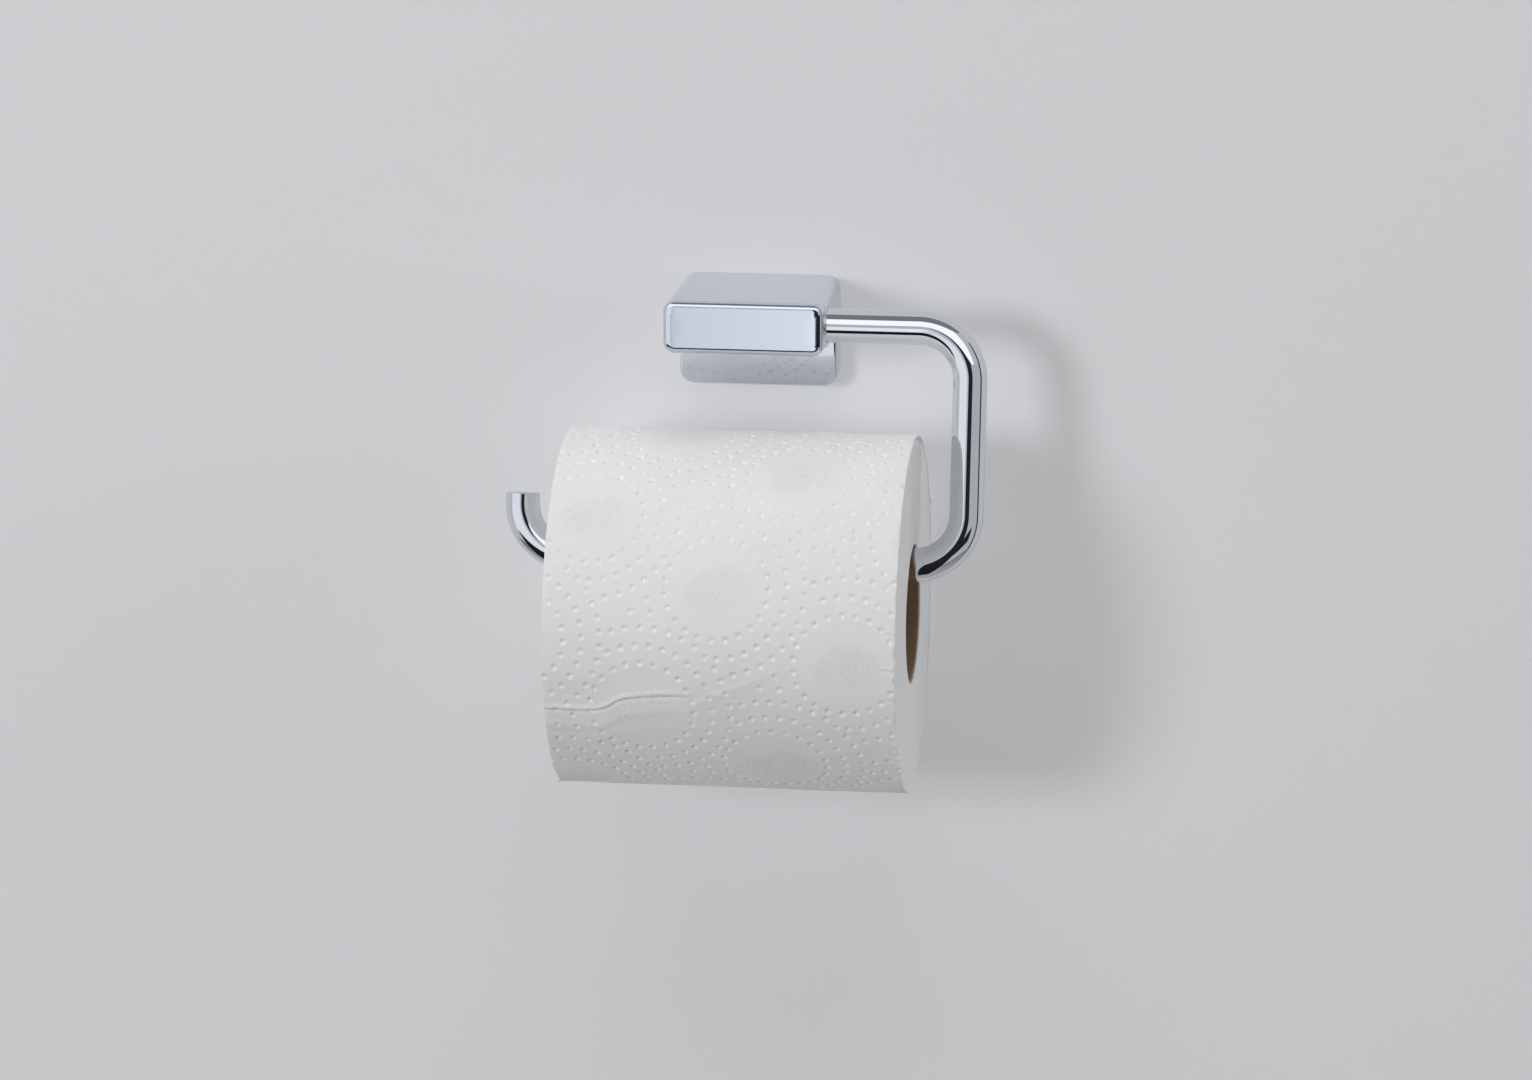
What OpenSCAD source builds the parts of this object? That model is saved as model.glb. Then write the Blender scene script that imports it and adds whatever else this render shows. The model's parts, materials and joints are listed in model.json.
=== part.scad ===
// Wall-mounted toilet paper holder: a hollow chrome housing on a wall bracket,
// a bent chrome arm that swings on a pivot in the housing, and a paper roll that
// turns on the arm. Millimetres, +Z up, the wall at Y = 0 and the room towards -Y.
// The origin is the centre of the housing's back face.

/* [Housing] */
// Width of the housing, side to side
housing_w = 47; // [44:0.5:54]
// Height of the housing's wall plate
plate_h = 32; // [30:0.5:38]
// Depth of the wall plate, from the wall to its front face
plate_d = 9; // [8:0.5:12]
// Corner radius of the wall plate
plate_corner_r = 4.3; // [3:0.1:6]
// Depth of the pivot block, from the wall to its front face
block_d = 44; // [42:0.5:50]
// Height of the pivot block
block_h = 15.6; // [15.4:0.1:17]
// Corner radius of the pivot block's front
block_corner_r = 2.6; // [2:0.1:4]
// Radius of the rounded front edges
edge_r = 1.6; // [0.8:0.1:1.8]
// Wall thickness of the casting
wall_t = 2.4; // [2:0.1:2.6]

/* [Arm] */
// Diameter of the arm's rod
rod_d = 10; // [8:0.5:10]
// Distance of the pivot's axis from the wall
pivot_depth = 35; // [32:0.5:36]
// Distance from the pivot's axis to the axis of the bar under it
arm_drop = 68.8; // [64:0.2:76]
// Bend radius of the rod's centreline
bend_r = 15; // [14:0.5:17]
// X of the centre of the arm's leg
leg_x = 65.6; // [64:0.2:72]
// X of the centre of the upturned tip, left of the middle
tip_x = 64.6; // [60:0.2:68]
// Height of the tip's end above the bar's axis
tip_rise = 18; // [18:0.5:26]

/* [Paper roll] */
// Outer diameter of the roll
roll_d = 104; // [80:1:106]
// Width of the roll
roll_w = 101; // [95:0.5:104]
// X of the middle of the roll
roll_x = 0.5; // [0:0.5:3]
// Inner diameter of the cardboard core
core_d = 39; // [36:0.5:42]
// Wall thickness of the core
core_t = 0.9; // [0.6:0.1:1.2]
// Thickness of the loose outer sheet
sheet_t = 0.5; // [0.3:0.1:0.8]

/* [Wall fixings] */
// Distance between the two wall screws
screw_spacing = 24; // [20:1:26]
// Outer diameter of the wall screws' thread
wall_screw_d = 4; // [3.5:0.1:4.2]
// Length of the wall screws behind the wall face
wall_screw_l = 30; // [20:1:40]

/* [Hidden] */
$fn = 96;
eps = 0.01;

// Pivot: the block's middle height, on its right side
side_x = housing_w / 2;
block_z = plate_h / 2 - block_h / 2;
pivot_z = block_z;

// Pivot bearing, along +X from the cavity to the housing's side
rod_r = rod_d / 2;
spigot_r = 3.5;
bush_play = 0.05;
bush_r = 4.7;
bush_in_x = side_x - 15;
recess_d = 2;
collar_out_r = 6.4;
collar_in_r = rod_r + 0.25;
collar_proud = 0.25;
press_gap = 0.03;
flange_t = 0.5;
shoulder_x = side_x - recess_d + flange_t + 0.1;
spigot_end_x = bush_in_x - 0.3;
washer_r = 5;
washer_t = 1;
pan_head_r = 3.6;
pan_head_t = 2.4;
m4_r = 2;
thread_gap = 0.02;
retaining_l = 8;

// Bracket and its screws
bracket_w = 37;
bracket_t = 2.5;
bracket_top = plate_h / 2 - wall_t - 0.1;
bracket_bottom = -10.4;
lip_h = 5.4;
lip_w = 14;
lip_d = 6;
grub_y = 4;
screw_head_r = 4;
screw_hole_r = 2.25;
shank_r = 1.5;
head_d = 1.9;

// The arm leans out until the roll that hangs on its bar clears the wall
wall_gap = 0.25;
hang_gap = 0.3;
roll_r = roll_d / 2;
core_r = core_d / 2;
core_out_r = core_r + core_t;
hang = core_r - rod_r - hang_gap;
lean = asin((roll_r + wall_gap - pivot_depth) / (arm_drop + hang));
roll_y = pivot_depth + (arm_drop + hang) * sin(lean);
roll_z = pivot_z - (arm_drop + hang) * cos(lean);

// Outline with round corners, centred, built from true arcs
module rounded_rect(w, h, r) {
    square([w - 2 * r, h], center = true);
    square([w, h - 2 * r], center = true);
    for (x = [-1, 1], y = [-1, 1])
        translate([x * (w / 2 - r), y * (h / 2 - r)]) circle(r);
}

// Slab standing on z = 0 with round corners r and its far edges rounded to e
module soft_slab(w, h, d, r, e) {
    linear_extrude(d - e) rounded_rect(w, h, r);
    linear_extrude(d) rounded_rect(w - 2 * e, h - 2 * e, r - e);
    translate([0, 0, d - e]) {
        for (s = [-1, 1]) {
            translate([0, s * (h / 2 - e), 0]) rotate([0, 90, 0])
                cylinder(r = e, h = w - 2 * r, center = true);
            translate([s * (w / 2 - e), 0, 0]) rotate([90, 0, 0])
                cylinder(r = e, h = h - 2 * r, center = true);
        }
        for (x = [-1, 1], y = [-1, 1])
            translate([x * (w / 2 - r), y * (h / 2 - r), 0])
                rotate_extrude() translate([r - e, 0]) intersection() {
                    circle(e);
                    translate([-(r - e), -e]) square([r, 2 * e]);
                }
    }
}

// Turns a shape drawn on the XY plane so that its thickness runs from the wall to -Y
module from_wall() {
    rotate([90, 0, 0]) children();
}

// Cylinder along +X, from x to x + l, on the pivot's axis
module on_pivot(r, x, l) {
    translate([x, -pivot_depth, pivot_z]) rotate([0, 90, 0]) cylinder(r = r, h = l);
}

module housing() {
    cavity_h = block_h - 2 * wall_t;
    color("silver") difference() {
        union() {
            from_wall() linear_extrude(plate_d)
                rounded_rect(housing_w, plate_h, plate_corner_r);
            translate([0, 0, block_z]) from_wall()
                soft_slab(housing_w, block_h, block_d, block_corner_r, edge_r);
        }
        // Pocket behind the plate
        translate([0, eps, 0]) from_wall() linear_extrude(plate_d - wall_t + eps)
            rounded_rect(housing_w - 2 * wall_t, plate_h - 2 * wall_t,
                         plate_corner_r - wall_t);
        // Cavity in the block, up to the bearing
        translate([-side_x + wall_t, -block_d + wall_t, block_z - cavity_h / 2])
            cube([bush_in_x + side_x - wall_t, block_d, cavity_h]);
        // Bearing bore and the collar's recess
        on_pivot(bush_r + press_gap, bush_in_x - 1, 20);
        on_pivot(collar_out_r + press_gap, side_x - recess_d, 5);
        // Thread for the clamping screw
        translate([0, -grub_y, -plate_h / 2 - 1]) cylinder(r = m4_r + thread_gap, h = 5);
    }
}

module wall_bracket() {
    h = bracket_top - bracket_bottom;
    color("darkgray") difference() {
        union() {
            translate([0, 0, (bracket_top + bracket_bottom) / 2]) from_wall()
                linear_extrude(bracket_t) rounded_rect(bracket_w, h, 1.5);
            translate([-lip_w / 2, -lip_d, bracket_bottom])
                cube([lip_w, lip_d - 1, lip_h]);
        }
        for (s = [-1, 1]) translate([s * screw_spacing / 2, 0, 0]) from_wall() {
            translate([0, 0, -1]) cylinder(r = screw_hole_r, h = bracket_t + 2);
            translate([0, 0, bracket_t - head_d])
                cylinder(r1 = screw_hole_r, r2 = screw_head_r + 0.2, h = head_d + eps);
        }
        // Seat for the clamping screw's point
        translate([0, -grub_y, bracket_bottom - eps])
            cylinder(r1 = 1.3, r2 = 0.2, h = 1.2);
    }
}

// Countersunk screw, head towards the room, thread behind the wall face
module wall_screw() {
    thread_r = wall_screw_d / 2;
    point_l = 4;
    from_wall() {
        difference() {
            translate([0, 0, bracket_t - head_d])
                cylinder(r1 = shank_r, r2 = screw_head_r, h = head_d);
            for (a = [0, 90]) rotate(a)
                translate([-2.2, -0.4, bracket_t - 1.1]) cube([4.4, 0.8, 2]);
        }
        translate([0, 0, -1]) cylinder(r = shank_r, h = bracket_t - head_d + 1.2);
        translate([0, 0, -wall_screw_l + point_l])
            cylinder(r = thread_r, h = wall_screw_l - point_l);
        translate([0, 0, -wall_screw_l])
            cylinder(r1 = 0.2, r2 = thread_r, h = point_l);
    }
}

module wall_screws() {
    color("gainsboro") for (s = [-1, 1])
        translate([s * screw_spacing / 2, 0, 0]) wall_screw();
}

// Hexagon socket set screw, driven up through the housing's underside
module grub_screw() {
    point_l = 1;
    body_l = plate_h / 2 + bracket_bottom - 0.3;
    color("dimgray") translate([0, -grub_y, -plate_h / 2 + 0.3]) difference() {
        union() {
            cylinder(r = m4_r, h = body_l - 0.1);
            translate([0, 0, body_l - 0.1]) cylinder(r1 = 1.1, r2 = 0.3, h = point_l);
        }
        translate([0, 0, -eps]) cylinder(r = 1.15, h = 2.2, $fn = 6);
    }
}

// Flanged plastic sleeve that carries the arm's spigot
module pivot_bush() {
    color("black") difference() {
        union() {
            on_pivot(bush_r, bush_in_x, side_x - recess_d - bush_in_x);
            on_pivot(rod_r + 0.15, side_x - recess_d, flange_t);
        }
        on_pivot(spigot_r + bush_play, bush_in_x - 1, 20);
    }
}

// Chrome ring around the arm's root
module pivot_collar() {
    color("silver") difference() {
        on_pivot(collar_out_r, side_x - recess_d, recess_d + collar_proud);
        on_pivot(collar_in_r, side_x - recess_d - 1, recess_d + 4);
    }
}

// Quarter bend of the rod: starts at the origin along +X and turns to -Z
module quarter_bend() {
    translate([0, 0, -bend_r]) rotate([90, 0, 0])
        rotate_extrude(angle = 90) translate([bend_r, 0]) circle(rod_r);
}

module straight(l) {
    rotate([0, 90, 0]) cylinder(r = rod_r, h = l);
}

// One bent rod, drawn hanging in the XZ plane of its pivot, then leaned out
module arm_rod() {
    chamfer = 0.6;
    top_l = leg_x - bend_r - shoulder_x;
    leg_l = arm_drop - 2 * bend_r;
    bar_l = leg_x + tip_x - 2 * bend_r;
    tip_l = tip_rise - bend_r;
    color("silver") translate([0, -pivot_depth, pivot_z]) rotate([-lean, 0, 0])
        difference() {
            union() {
                translate([spigot_end_x, 0, 0]) rotate([0, 90, 0])
                    cylinder(r = spigot_r, h = shoulder_x - spigot_end_x + 1);
                translate([shoulder_x, 0, 0]) straight(top_l);
                translate([leg_x - bend_r, 0, 0]) quarter_bend();
                translate([leg_x, 0, -bend_r - leg_l]) cylinder(r = rod_r, h = leg_l);
                translate([leg_x, 0, -bend_r - leg_l]) rotate([0, 90, 0]) quarter_bend();
                translate([bend_r - tip_x, 0, -arm_drop]) straight(bar_l);
                translate([bend_r - tip_x, 0, -arm_drop]) rotate([0, 180, 0]) quarter_bend();
                translate([-tip_x, 0, bend_r - arm_drop]) {
                    cylinder(r = rod_r, h = tip_l - chamfer);
                    translate([0, 0, tip_l - chamfer])
                        cylinder(r1 = rod_r, r2 = rod_r - chamfer, h = chamfer);
                }
            }
            // Tapped hole for the retaining screw
            translate([spigot_end_x - 1, 0, 0]) rotate([0, 90, 0])
                cylinder(r = m4_r + thread_gap, h = retaining_l + 2);
        }
}

module thrust_washer() {
    color("gainsboro") difference() {
        on_pivot(washer_r, spigot_end_x - washer_t, washer_t);
        on_pivot(m4_r + 0.2, spigot_end_x - washer_t - 1, washer_t + 2);
    }
}

// Pan head screw that holds the arm in its bearing
module retaining_screw() {
    head_x = spigot_end_x - washer_t - pan_head_t;
    color("gainsboro") difference() {
        union() {
            on_pivot(pan_head_r, head_x, pan_head_t);
            on_pivot(m4_r, head_x + 1, pan_head_t - 1 + washer_t + retaining_l);
        }
        translate([head_x, -pivot_depth, pivot_z]) for (a = [0, 90])
            rotate([a, 0, 0]) cube([2.6, 4, 0.8], center = true);
    }
}

// Ring along X around the roll's axis
module roll_ring(r_out, r_in, w) {
    translate([roll_x - w / 2, -roll_y, roll_z]) rotate([0, 90, 0]) difference() {
        cylinder(r = r_out, h = w, $fn = 180);
        translate([0, 0, -1]) cylinder(r = r_in, h = w + 2, $fn = 180);
    }
}

module paper_roll() {
    color("white") roll_ring(roll_r - sheet_t, core_out_r, roll_w);
}

// Last turn of the paper, with the slit where its free edge lies on the roll
module outer_sheet() {
    slit = 1;
    free_edge_angle = -20;
    color("whitesmoke") difference() {
        roll_ring(roll_r, roll_r - sheet_t, roll_w);
        translate([roll_x, -roll_y, roll_z]) rotate([-free_edge_angle, 0, 0])
            translate([0, -roll_r, 0]) cube([roll_w + 2, 4 * sheet_t, slit], center = true);
    }
}

module cardboard_core() {
    color("peru") roll_ring(core_out_r, core_r, roll_w - 1);
}

housing();
wall_bracket();
wall_screws();
grub_screw();
pivot_bush();
pivot_collar();
arm_rod();
thrust_washer();
retaining_screw();
paper_roll();
outer_sheet();
cardboard_core();
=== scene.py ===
import json
import math

import bmesh
import bpy
import numpy as np
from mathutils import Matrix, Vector, kdtree


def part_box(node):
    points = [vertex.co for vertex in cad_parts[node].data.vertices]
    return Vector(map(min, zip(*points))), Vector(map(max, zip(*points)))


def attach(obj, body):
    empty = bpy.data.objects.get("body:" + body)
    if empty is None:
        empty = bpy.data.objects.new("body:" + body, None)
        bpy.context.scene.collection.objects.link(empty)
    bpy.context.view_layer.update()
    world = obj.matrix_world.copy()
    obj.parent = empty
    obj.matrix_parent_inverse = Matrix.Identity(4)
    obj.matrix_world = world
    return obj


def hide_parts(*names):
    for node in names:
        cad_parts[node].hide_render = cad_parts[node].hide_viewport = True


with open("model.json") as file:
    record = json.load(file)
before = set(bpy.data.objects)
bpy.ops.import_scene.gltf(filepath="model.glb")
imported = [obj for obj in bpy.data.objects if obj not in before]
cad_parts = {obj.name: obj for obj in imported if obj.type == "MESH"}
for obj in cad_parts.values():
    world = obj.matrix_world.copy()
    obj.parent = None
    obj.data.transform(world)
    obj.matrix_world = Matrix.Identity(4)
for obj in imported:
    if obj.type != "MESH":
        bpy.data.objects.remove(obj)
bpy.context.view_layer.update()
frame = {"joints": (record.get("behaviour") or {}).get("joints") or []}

# A wall-mounted toilet paper holder: chrome housing on a steel bracket, a bent chrome arm that
# hangs from a pivot in the housing's side, and an embossed paper roll on the arm's bar.
# Metres, +Z up, the wall at Y = 0 and the room towards -Y.

MM = 0.001
JOINTS = {joint["name"]: Vector(joint["pos_m"]) for joint in frame["joints"]}
PIVOT = JOINTS["arm_swing"]
ROLL = JOINTS["roll_spin"]
SIDE_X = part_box("housing")[1].x

# Housing
PLATE_DEPTH = 9.0 * MM
PLATE_CORNER = 4.3 * MM
PLATE_EDGE = 1.0 * MM
DRAFT = math.radians(1.8)
BLOCK_HALF = 7.8 * MM
BLOCK_CORNER = 3.4 * MM
BLOCK_EDGE = 2.0 * MM
DOME = 0.04 * MM
WALL = 2.4 * MM
FIT = 0.03 * MM

# Pivot and screws
SPIGOT = 3.5 * MM
BUSH_FLANGE = (0.5 * MM, 0.45 * MM)  # its thickness, and its rise over the sleeve
M4 = 2.0 * MM
M4_ROOT = 1.62 * MM
M4_PITCH = 0.7 * MM
WALL_SCREW_HEAD = 4.0 * MM

# Arm
ROD = 5.0 * MM
BEND = 15.0 * MM
DROP = 68.8 * MM
TIP_RISE = 18.0 * MM
CHAMFER = 0.6 * MM

# Paper
SHEET = 0.45 * MM
SHEET_PITCH = 0.35 * MM
SHEETS = 3
FREE_EDGE = math.radians(-20)

# Modelling
SAME_PLACE = 0.01 * MM
MERGE_GAP = 0.002 * MM
THREAD_GAP = 0.001 * MM


# ---------------------------------------------------------------- modelling by hand

def activate(obj):
    """Makes obj the only selected object."""
    for other in list(bpy.context.selected_objects):
        other.select_set(False)
    bpy.context.view_layer.objects.active = obj
    obj.select_set(True)


def put(obj, place=(0, 0, 0), turn=(0, 0, 0)):
    """Moves a piece to a place and turn, and keeps both in its mesh."""
    obj.location = place
    obj.rotation_euler = turn
    return apply_place(obj)


def apply_place(obj):
    """Puts the object's place, turn and scale into its mesh."""
    activate(obj)
    bpy.ops.object.transform_apply(location=True, rotation=True, scale=True)
    return obj


def rename(obj, name):
    obj.name = name
    obj.data.name = name
    return obj


def named(name):
    """Names the primitive that was just added and puts its place into its mesh."""
    return apply_place(rename(bpy.context.object, name))


def in_scene(name, data):
    """Adds an object with this data to the scene."""
    obj = bpy.data.objects.new(name, data)
    bpy.context.scene.collection.objects.link(obj)
    return obj


def add_box(name, low, high):
    low, high = Vector(low), Vector(high)
    bpy.ops.mesh.primitive_cube_add(size=1, location=(low + high) / 2, scale=high - low)
    return named(name)


def add_bar(name, start, end, radius, radius_end=None, sides=64):
    """A solid cylinder or cone between two points."""
    start, end = Vector(start), Vector(end)
    turn = (end - start).to_track_quat("Z", "Y").to_euler()
    bpy.ops.mesh.primitive_cone_add(
        vertices=sides, radius1=radius, radius2=radius if radius_end is None else radius_end,
        depth=(end - start).length, location=(start + end) / 2, rotation=turn)
    return named(name)


def near(a, b):
    return abs(a - b) < SAME_PLACE


def runs_in(edge):
    """Whether an edge runs from the room towards the wall."""
    return not near(edge.verts[0].co.y, edge.verts[1].co.y)


def runs_in_at(z):
    """A test for edges that run towards the wall at one height."""
    return lambda edge: runs_in(edge) and all(near(vert.co.z, z) for vert in edge.verts)


def at_depth(y):
    """A test for edges that lie at one depth."""
    return lambda edge: all(near(vert.co.y, y) for vert in edge.verts)


def pick(obj, kind, test):
    """In edit mode, selects only the verts, edges or faces that pass the test."""
    activate(obj)
    bpy.ops.object.mode_set(mode="EDIT")
    bpy.context.tool_settings.mesh_select_mode = [kind == k for k in ("verts", "edges", "faces")]
    bpy.ops.mesh.select_all(action="DESELECT")
    cage = bmesh.from_edit_mesh(obj.data)
    for element in getattr(cage, kind):
        if test(element):
            element.select_set(True)
    cage.select_flush_mode()
    bmesh.update_edit_mesh(obj.data)


def pick_all(obj):
    pick(obj, "verts", lambda vert: True)


def pick_open_edges():
    """In edit mode, selects only the edges where the mesh is still open."""
    bpy.ops.mesh.select_all(action="DESELECT")
    bpy.ops.mesh.select_non_manifold()


def done(obj):
    bpy.ops.object.mode_set(mode="OBJECT")
    return obj


def bevel(obj, test, width, segments):
    """Rounds the edges that pass the test."""
    pick(obj, "edges", test)
    bpy.ops.mesh.bevel(offset=width, offset_type="OFFSET", segments=segments, profile=0.5,
                       affect="EDGES", clamp_overlap=True)
    return done(obj)


def push(offset):
    """Extrudes what is selected by an offset."""
    bpy.ops.mesh.extrude_region_move(TRANSFORM_OT_translate={"value": offset})


def push_and_scale(offset, scale, centre):
    """Extrudes what is selected by an offset, then scales the new end about a centre."""
    push(offset)
    bpy.ops.transform.resize(value=scale, center_override=centre)


def modify(obj, kind, **values):
    """Adds a modifier with these values and applies it."""
    activate(obj)
    modifier = obj.modifiers.new(kind.title(), kind)
    for key, value in values.items():
        setattr(modifier, key, value)
    bpy.ops.object.modifier_apply(modifier=modifier.name)
    return obj


def cut(obj, tool, operation="DIFFERENCE"):
    """Cuts the tool out of obj, or joins it on, and removes the tool."""
    modify(obj, "BOOLEAN", object=tool, operation=operation, solver="EXACT")
    bpy.data.objects.remove(tool)
    return obj


def tidy_shell(obj):
    """Merges doubled points and turns all faces outward."""
    pick_all(obj)
    bpy.ops.mesh.remove_doubles(threshold=MERGE_GAP)
    bpy.ops.mesh.normals_make_consistent(inside=False)
    return done(obj)


def smooth(obj, angle=30, weighted=True):
    """Smooth shading up to an angle, with flat faces kept flat."""
    activate(obj)
    bpy.ops.object.shade_smooth_by_angle(angle=math.radians(angle))
    if weighted:
        modify(obj, "WEIGHTED_NORMAL", keep_sharp=True, weight=80)
    return obj


def start_ring(name, x, radius, sides, filled=True):
    """A ring of points across the X axis, left selected in edit mode. Filled, it is a disc."""
    bpy.ops.mesh.primitive_circle_add(vertices=sides, radius=radius, location=(x, 0, 0),
                                      rotation=(0, math.pi / 2, 0))
    ring = named(name)
    pick_all(ring)
    if filled:
        bpy.ops.mesh.edge_face_add()
    return ring


def turned(name, rings, sides=64, centre=(0, 0, 0), closed=False):
    """A piece turned on a lathe, along +X from centre: a circle extruded from ring to ring.
    Each ring is (x, radius). A closed piece comes back to its first ring."""
    x, radius = rings[0]
    obj = start_ring(name, x, radius, sides, filled=not closed)
    for next_x, next_radius in rings[1:]:
        factor = next_radius / radius
        push_and_scale((next_x - x, 0, 0), (1, factor, factor), (next_x, 0, 0))
        x, radius = next_x, next_radius
    done(obj)
    return put(tidy_shell(obj), centre)


def copy_piece(obj):
    return in_scene(obj.name, obj.data.copy())


def join_pieces(name, pieces):
    """Joins several closed shells into one piece."""
    activate(pieces[0])
    for piece in pieces[1:]:
        piece.select_set(True)
    bpy.ops.object.join()
    return rename(pieces[0], name)


def hand_over(obj, body, material, node):
    """Gives a finished piece its material and body, and hides the CAD node it stands for."""
    obj.data.materials.clear()
    obj.data.materials.append(material)
    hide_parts(node)
    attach(obj, body)
    return obj


# ---------------------------------------------------------------- shader nodes and groups

def link(tree, source, socket):
    tree.links.new(source, socket)


def feed(tree, sockets, sources):
    """Gives each socket its source: another node's output, or a plain value."""
    for socket, source in zip(sockets, sources):
        if isinstance(source, bpy.types.NodeSocket):
            link(tree, source, socket)
        elif source is not None:
            socket.default_value = source


def math_node(tree, operation, a, b=None):
    node = tree.nodes.new("ShaderNodeMath")
    node.operation = operation
    feed(tree, node.inputs, (a, b))
    return node.outputs[0]


def noise_node(tree, vector, scale, detail=2.0, roughness=0.5):
    node = tree.nodes.new("ShaderNodeTexNoise")
    sockets = [node.inputs[label] for label in ("Vector", "Scale", "Detail", "Roughness")]
    feed(tree, sockets, (vector, scale, detail, roughness))
    return node.outputs["Fac"]


def ranged(tree, value, low, high, to_low=0.0, to_high=1.0):
    """A smooth step of a value between low and high."""
    node = tree.nodes.new("ShaderNodeMapRange")
    node.interpolation_type = "SMOOTHSTEP"
    feed(tree, node.inputs, (value, low, high, to_low, to_high))
    return node.outputs["Result"]


def bump_node(tree, height, distance, strength=1.0, normal=None):
    node = tree.nodes.new("ShaderNodeBump")
    sockets = [node.inputs[label] for label in ("Strength", "Distance", "Height", "Normal")]
    feed(tree, sockets, (strength, distance, height, normal))
    return node.outputs["Normal"]


def two_tones(tree, mask, tone_a, tone_b):
    node = tree.nodes.new("ShaderNodeMix")
    node.data_type = "RGBA"
    link(tree, mask, node.inputs[0])
    node.inputs[6].default_value = (*tone_a, 1)
    node.inputs[7].default_value = (*tone_b, 1)
    return node.outputs[2]


def new_group(name, output, **inputs):
    """An empty shader group: the group, its inputs, its output and a point on the object."""
    group = bpy.data.node_groups.new(name, "ShaderNodeTree")
    for label, default in inputs.items():
        made = group.interface.new_socket(label, in_out="INPUT", socket_type="NodeSocketFloat")
        made.default_value = default
    group.interface.new_socket(output, in_out="OUTPUT", socket_type="NodeSocketFloat")
    given = group.nodes.new("NodeGroupInput").outputs
    result = group.nodes.new("NodeGroupOutput").inputs[output]
    return group, given, result, group.nodes.new("ShaderNodeTexCoord").outputs["Object"]


def use_group(tree, group, **values):
    node = tree.nodes.new("ShaderNodeGroup")
    node.node_tree = group
    for label, value in values.items():
        node.inputs[label].default_value = value
    return node.outputs[0]


def smudge_group():
    """Roughness between two values, in soft cloudy patches with finer wipe marks in them."""
    group, given, result, place = new_group("handling_smudges", "Roughness",
                                            Size=60.0, Low=0.03, High=0.09)
    wipe_size = math_node(group, "MULTIPLY", given["Size"], 9.0)
    cloud = noise_node(group, place, given["Size"], 4.0, 0.6)
    wipe = noise_node(group, place, wipe_size, 3.0)
    mixed = math_node(group, "ADD", math_node(group, "MULTIPLY", cloud, 0.75),
                      math_node(group, "MULTIPLY", wipe, 0.25))
    link(group, ranged(group, mixed, 0.35, 0.7, given["Low"], given["High"]), result)
    return group


def grain_group():
    """A fine surface grain as a height, drawn out along X where Stretch is below 1."""
    group, given, result, place = new_group("fine_grain", "Height", Size=800.0, Stretch=1.0)
    stretch = group.nodes.new("ShaderNodeCombineXYZ")
    feed(group, stretch.inputs, (given["Stretch"], 1.0, 1.0))
    scaled = group.nodes.new("ShaderNodeVectorMath")
    scaled.operation = "MULTIPLY"
    feed(group, scaled.inputs, (place, stretch.outputs["Vector"]))
    link(group, noise_node(group, scaled.outputs["Vector"], given["Size"], 3.0, 0.6), result)
    return group


def drift_group():
    """A mask that drifts between 0 and 1 in soft patches, to mix two close tones."""
    group, given, result, place = new_group("tone_drift", "Mask", Size=40.0)
    link(group, ranged(group, noise_node(group, place, given["Size"], 3.0), 0.3, 0.7), result)
    return group


SMUDGES = smudge_group()
GRAIN = grain_group()
DRIFT = drift_group()


# ---------------------------------------------------------------- materials

def new_material(name, **values):
    """A material with a Principled shader; values are set on the shader's own sockets."""
    material = bpy.data.materials.new(name)
    material.use_nodes = True
    shader = material.node_tree.nodes["Principled BSDF"]
    for label, value in values.items():
        shader.inputs[label.replace("_", " ")].default_value = value
    return material, material.node_tree, shader


def hard_finish(name, tones, drift, rough, smudges, grain=None, **values):
    """A metal or plastic: two tones in patches, smudged roughness between two values and,
    if given, a grain (size, stretch along X, height)."""
    material, tree, shader = new_material(name, **values)
    mask = use_group(tree, DRIFT, Size=drift)
    link(tree, two_tones(tree, mask, *tones), shader.inputs["Base Color"])
    rough_low, rough_high = rough
    link(tree, use_group(tree, SMUDGES, Size=smudges, Low=rough_low, High=rough_high),
         shader.inputs["Roughness"])
    if grain:
        size, stretch, height = grain
        grain_height = use_group(tree, GRAIN, Size=size, Stretch=stretch)
        link(tree, bump_node(tree, grain_height, height), shader.inputs["Normal"])
    return material


def pin_wave(tree, along, around, turn):
    """One family of waves of the pin embossing, turned by an angle."""
    pin_pitch = 1.3 * MM
    total = math_node(tree, "ADD", math_node(tree, "MULTIPLY", along, math.cos(turn)),
                      math_node(tree, "MULTIPLY", around, math.sin(turn)))
    return math_node(tree, "SINE", math_node(tree, "MULTIPLY", total, 2 * math.pi / pin_pitch))


def pin_embossing(tree, normal):
    """Crepe on the paper's own flat coordinates, and fine pins where the patches are."""
    flat = tree.nodes.new("ShaderNodeUVMap")
    flat.uv_map = "flat"
    split = tree.nodes.new("ShaderNodeSeparateXYZ")
    link(tree, flat.outputs["UV"], split.inputs[0])
    along, around = split.outputs["X"], split.outputs["Y"]
    crepe = noise_node(tree, flat.outputs["UV"], 700.0, 2.0)
    normal = bump_node(tree, crepe, 0.06 * MM, 0.6, normal)
    pins = math_node(tree, "MULTIPLY", pin_wave(tree, along, around, math.radians(24)),
                     pin_wave(tree, along, around, math.radians(108)))
    patch = tree.nodes.new("ShaderNodeAttribute")
    patch.attribute_name = "patch"
    height = math_node(tree, "MULTIPLY", pins, patch.outputs["Fac"])
    return bump_node(tree, height, 0.085 * MM, 1.0, normal)


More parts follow.
